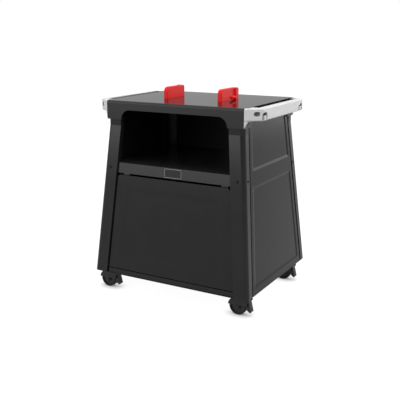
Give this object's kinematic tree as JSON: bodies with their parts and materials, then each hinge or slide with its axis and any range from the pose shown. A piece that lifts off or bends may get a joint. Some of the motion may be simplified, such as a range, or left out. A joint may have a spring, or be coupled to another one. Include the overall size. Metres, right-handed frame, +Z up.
{
  "type": "grill stand",
  "caption": "Rolling grill stand: flared sheet-metal cabinet with an open shelf, a drop-down door, slotted side rails, griddle locks on top and braked swivel casters.",
  "frame": {"origin": "on the floor, under the middle of the cabinet", "axes": "+Z up, front with the door towards -Y, +X to the right as seen from the front"},
  "size_m": [0.7626, 0.6, 0.882],
  "materials": {
    "top_paint": "satin",
    "frame_paint": "satin",
    "panel_paint": "satin",
    "door_paint": "satin",
    "rail_plastic": "matte",
    "lock_plastic": "satin",
    "screw_steel": "satin",
    "zinc": "zinc plated",
    "catch_plastic": "matte",
    "caster_plastic": "satin",
    "tread_rubber": "matte"
  },
  "bodies": {
    "cabinet": {"top_panel": "top_paint", "front_header": "frame_paint", "rear_header": "frame_paint", "leg_front_right": "frame_paint", "leg_front_left": "frame_paint", "leg_rear_right": "frame_paint", "leg_rear_left": "frame_paint", "shelf_rail": "frame_paint", "base_panel": "frame_paint", "side_panel_right": "panel_paint", "side_panel_left": "panel_paint", "back_panel": "panel_paint", "shelf_panel": "panel_paint", "shelf_brackets": "panel_paint", "hinge_pins": "zinc", "leg_screws": "screw_steel", "rail_screws": "screw_steel", "lock_screws": "screw_steel", "door_magnets": "catch_plastic", "side_rail_right": "rail_plastic", "side_rail_left": "rail_plastic", "griddle_lock_right": "lock_plastic", "griddle_lock_left": "lock_plastic", "caster_sockets": "zinc"},
    "door": {"door_panel": "door_paint", "door_strikes": "zinc"},
    "swivel_front_right": {"caster_fork_front_right": "caster_plastic", "caster_stem_front_right": "zinc", "caster_axle_front_right": "zinc"},
    "wheel_front_right": {"caster_wheel_front_right": "tread_rubber"},
    "pedal_front_right": {"caster_pedal_front_right": "caster_plastic"},
    "swivel_front_left": {"caster_fork_front_left": "caster_plastic", "caster_stem_front_left": "zinc", "caster_axle_front_left": "zinc"},
    "wheel_front_left": {"caster_wheel_front_left": "tread_rubber"},
    "pedal_front_left": {"caster_pedal_front_left": "caster_plastic"},
    "swivel_rear_right": {"caster_fork_rear_right": "caster_plastic", "caster_stem_rear_right": "zinc", "caster_axle_rear_right": "zinc"},
    "wheel_rear_right": {"caster_wheel_rear_right": "tread_rubber"},
    "pedal_rear_right": {"caster_pedal_rear_right": "caster_plastic"},
    "swivel_rear_left": {"caster_fork_rear_left": "caster_plastic", "caster_stem_rear_left": "zinc", "caster_axle_rear_left": "zinc"},
    "wheel_rear_left": {"caster_wheel_rear_left": "tread_rubber"},
    "pedal_rear_left": {"caster_pedal_rear_left": "caster_plastic"}
  },
  "joints": [
    {"name": "door_hinge", "type": "hinge", "parent": "cabinet", "child": "door", "pos_m": [0, -0.28145, 0.11976], "axis": [1, 0, 0], "range_deg": [0, 95]},
    {"name": "caster_swivel_front_right", "type": "hinge", "parent": "cabinet", "child": "swivel_front_right", "pos_m": [0.322, -0.231, 0.0915], "axis": [0, 0, 1], "continuous": true},
    {"name": "wheel_spin_front_right", "type": "hinge", "parent": "swivel_front_right", "child": "wheel_front_right", "pos_m": [0.301, -0.231, 0.0375], "axis": [0, 1, 0], "continuous": true},
    {"name": "brake_pedal_front_right", "type": "hinge", "parent": "swivel_front_right", "child": "pedal_front_right", "pos_m": [0.346, -0.231, 0.0675], "axis": [0, -1, 0], "range_deg": [0, 25]},
    {"name": "caster_swivel_front_left", "type": "hinge", "parent": "cabinet", "child": "swivel_front_left", "pos_m": [-0.322, -0.231, 0.0915], "axis": [0, 0, 1], "continuous": true},
    {"name": "wheel_spin_front_left", "type": "hinge", "parent": "swivel_front_left", "child": "wheel_front_left", "pos_m": [-0.343, -0.231, 0.0375], "axis": [0, 1, 0], "continuous": true},
    {"name": "brake_pedal_front_left", "type": "hinge", "parent": "swivel_front_left", "child": "pedal_front_left", "pos_m": [-0.298, -0.231, 0.0675], "axis": [0, -1, 0], "range_deg": [0, 25]},
    {"name": "caster_swivel_rear_right", "type": "hinge", "parent": "cabinet", "child": "swivel_rear_right", "pos_m": [0.322, 0.231, 0.0915], "axis": [0, 0, 1], "continuous": true},
    {"name": "wheel_spin_rear_right", "type": "hinge", "parent": "swivel_rear_right", "child": "wheel_rear_right", "pos_m": [0.301, 0.231, 0.0375], "axis": [0, 1, 0], "continuous": true},
    {"name": "brake_pedal_rear_right", "type": "hinge", "parent": "swivel_rear_right", "child": "pedal_rear_right", "pos_m": [0.346, 0.231, 0.0675], "axis": [0, -1, 0], "range_deg": [0, 25]},
    {"name": "caster_swivel_rear_left", "type": "hinge", "parent": "cabinet", "child": "swivel_rear_left", "pos_m": [-0.322, 0.231, 0.0915], "axis": [0, 0, 1], "continuous": true},
    {"name": "wheel_spin_rear_left", "type": "hinge", "parent": "swivel_rear_left", "child": "wheel_rear_left", "pos_m": [-0.343, 0.231, 0.0375], "axis": [0, 1, 0], "continuous": true},
    {"name": "brake_pedal_rear_left", "type": "hinge", "parent": "swivel_rear_left", "child": "pedal_rear_left", "pos_m": [-0.298, 0.231, 0.0675], "axis": [0, -1, 0], "range_deg": [0, 25]}
  ]
}
